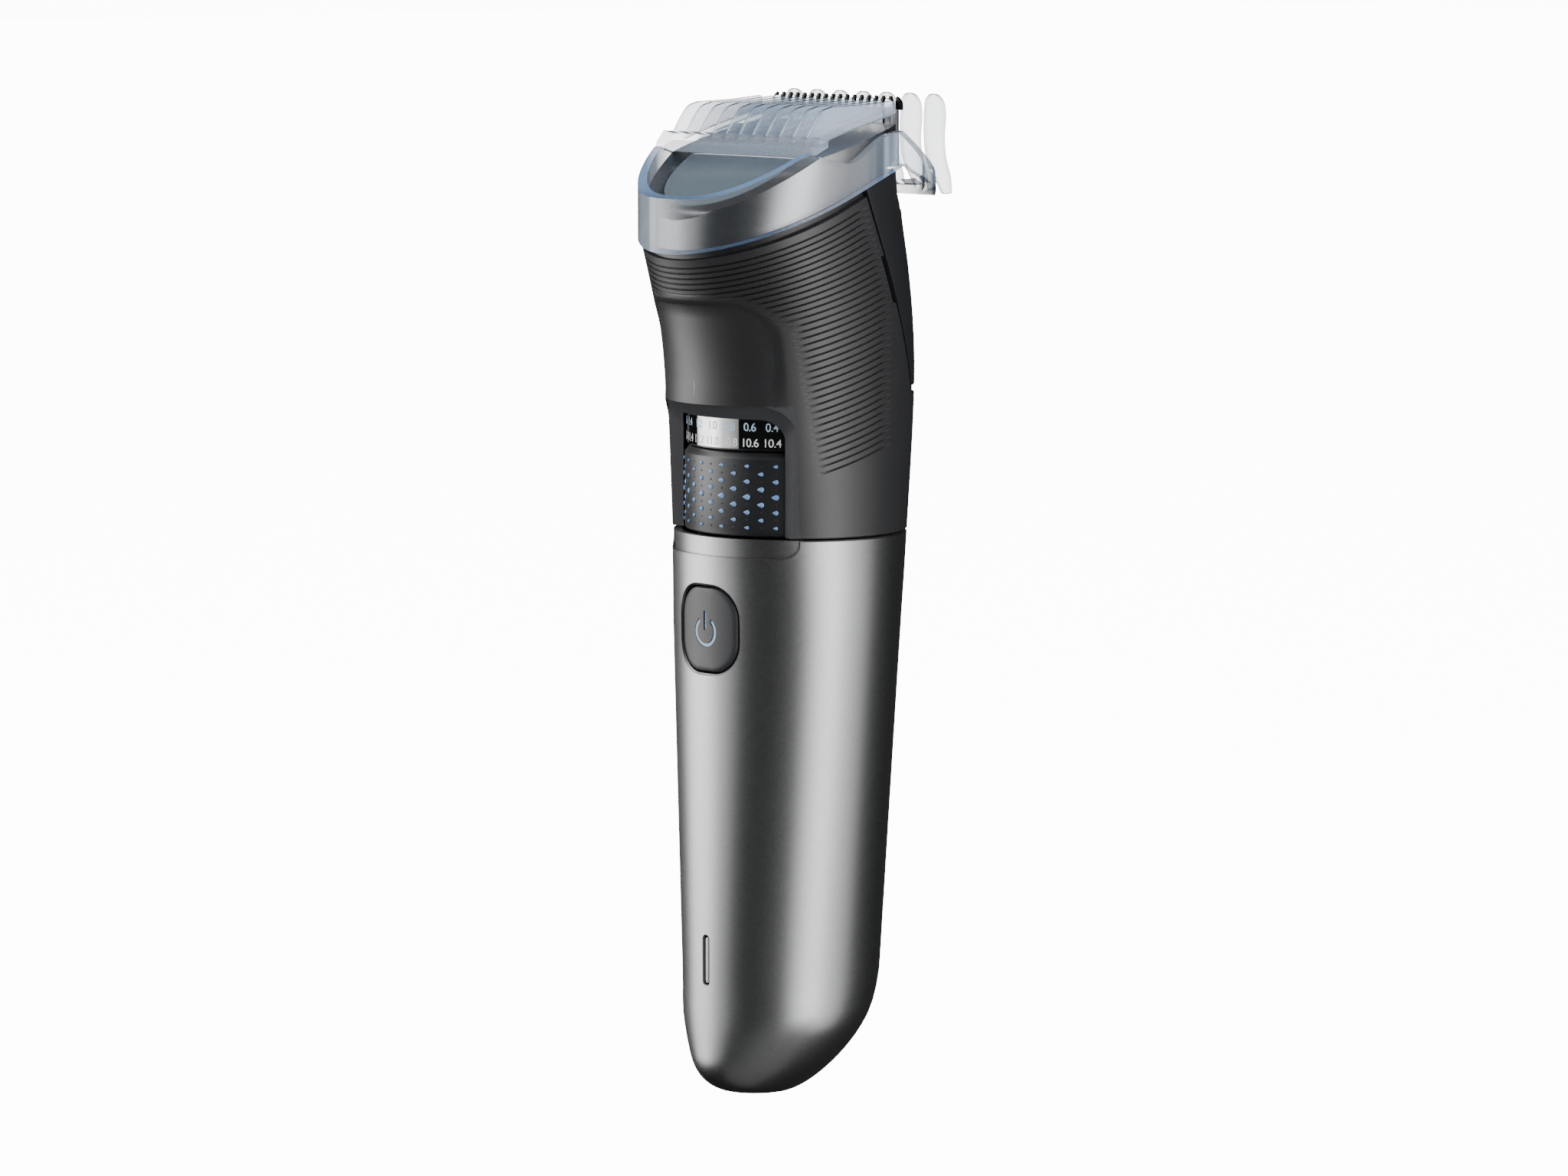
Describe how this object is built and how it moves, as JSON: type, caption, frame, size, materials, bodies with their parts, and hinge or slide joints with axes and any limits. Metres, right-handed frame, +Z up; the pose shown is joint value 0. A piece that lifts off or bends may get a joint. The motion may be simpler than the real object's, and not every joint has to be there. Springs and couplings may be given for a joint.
{
  "type": "beard trimmer",
  "caption": "Cordless beard trimmer with a zoom wheel that raises a clear guide comb over a silver head and a T-blade, power button on a satin handle.",
  "frame": {"origin": "on the plane of the small flat foot the trimmer stands on, under the middle of its bounding box", "axes": "+Z up along the handle from the foot to the blade, -Y out of the front where the button and the wheel window are, +X to the right seen from the front"},
  "size_m": [0.0426, 0.0492, 0.1706],
  "materials": {
    "satin_handle": "satin metallic grey",
    "soft_black": "matt soft-touch charcoal",
    "silver_head": "fine brushed silver",
    "scale_black": "high gloss black",
    "wheel_black": "satin dark plastic",
    "button_grey": "satin dark grey",
    "comb_clear": "clear, polished, pale blue edges",
    "panel_blue": "satin blue grey",
    "steel": "ground steel",
    "blade_black": "black coated steel",
    "rubber": "matt",
    "inner_plastic": "moulded, matt",
    "battery_sleeve": "shrink sleeve",
    "board": "solder mask",
    "nickel": "nickel plate",
    "light_guide": "frosted clear",
    "red_sleeve": "silicone sleeve"
  },
  "bodies": {
    "trimmer_body": {"handle_shell": "satin_handle", "led_light_guide": "light_guide", "status_led": "light_guide", "charging_socket": "nickel", "socket_seal": "rubber", "button_seal": "rubber", "tact_switch": "nickel", "circuit_board": "board", "inner_frame": "inner_plastic", "frame_screw_1": "steel", "frame_screw_2": "steel", "frame_screw_3": "steel", "frame_screw_4": "steel", "battery_cell": "battery_sleeve", "battery_tab_bottom": "nickel", "battery_tab_top": "nickel", "motor_lead_red": "red_sleeve", "motor_lead_black": "rubber", "motor_bracket": "inner_plastic", "joint_seal": "rubber", "motor_end_cap": "inner_plastic", "motor_can": "nickel", "motor_gasket": "rubber", "detent_spring": "steel", "upper_housing": "soft_black", "head_housing": "silver_head", "head_panel": "panel_blue", "guard_blade": "blade_black", "blade_carrier": "blade_black", "blade_screw_left": "steel", "blade_screw_right": "steel", "blade_spring": "steel"},
    "zoom_wheel_set": {"zoom_wheel": "wheel_black", "scale_ring": "scale_black", "cam_ring": "inner_plastic"},
    "comb_slide": {"comb_carriage": "soft_black", "cam_follower": "steel"},
    "comb": {"guide_comb": "comb_clear"},
    "button_set": {"power_button": "button_grey"},
    "cutter_set": {"cutter_blade": "steel", "drive_fork": "inner_plastic"},
    "motor_rotor": {"motor_shaft": "steel", "eccentric": "inner_plastic"}
  },
  "joints": [
    {"name": "wheel_turn", "type": "hinge", "parent": "trimmer_body", "child": "zoom_wheel_set", "pos_m": [0, 0.00335, 0.103], "axis": [0, 0, 1], "range_deg": [-38.6, 270]},
    {"name": "carriage_slide", "type": "slide", "parent": "trimmer_body", "child": "comb_slide", "axis": [0, 0, 1], "range_m": [-0.0012, 0.0084]},
    {"name": "comb_pull_off", "type": "slide", "parent": "comb_slide", "child": "comb", "axis": [0, 0, 1], "range_m": [0, 0.02]},
    {"name": "button_press", "type": "slide", "parent": "trimmer_body", "child": "button_set", "axis": [0, 1, 0], "range_m": [0, 0.0006], "stiffness_N_per_m": 1500, "springref_m": -0.0002},
    {"name": "blade_stroke", "type": "slide", "parent": "trimmer_body", "child": "cutter_set", "axis": [1, 0, 0], "range_m": [-0.0009, 0.0009]},
    {"name": "motor_spin", "type": "hinge", "parent": "trimmer_body", "child": "motor_rotor", "pos_m": [0, 0.00335, 0.118], "axis": [0, 0, 1], "continuous": true}
  ],
  "couplings": [
    {"joint": "carriage_slide", "follows": "wheel_turn", "m_per_rad": 0.00178}
  ]
}
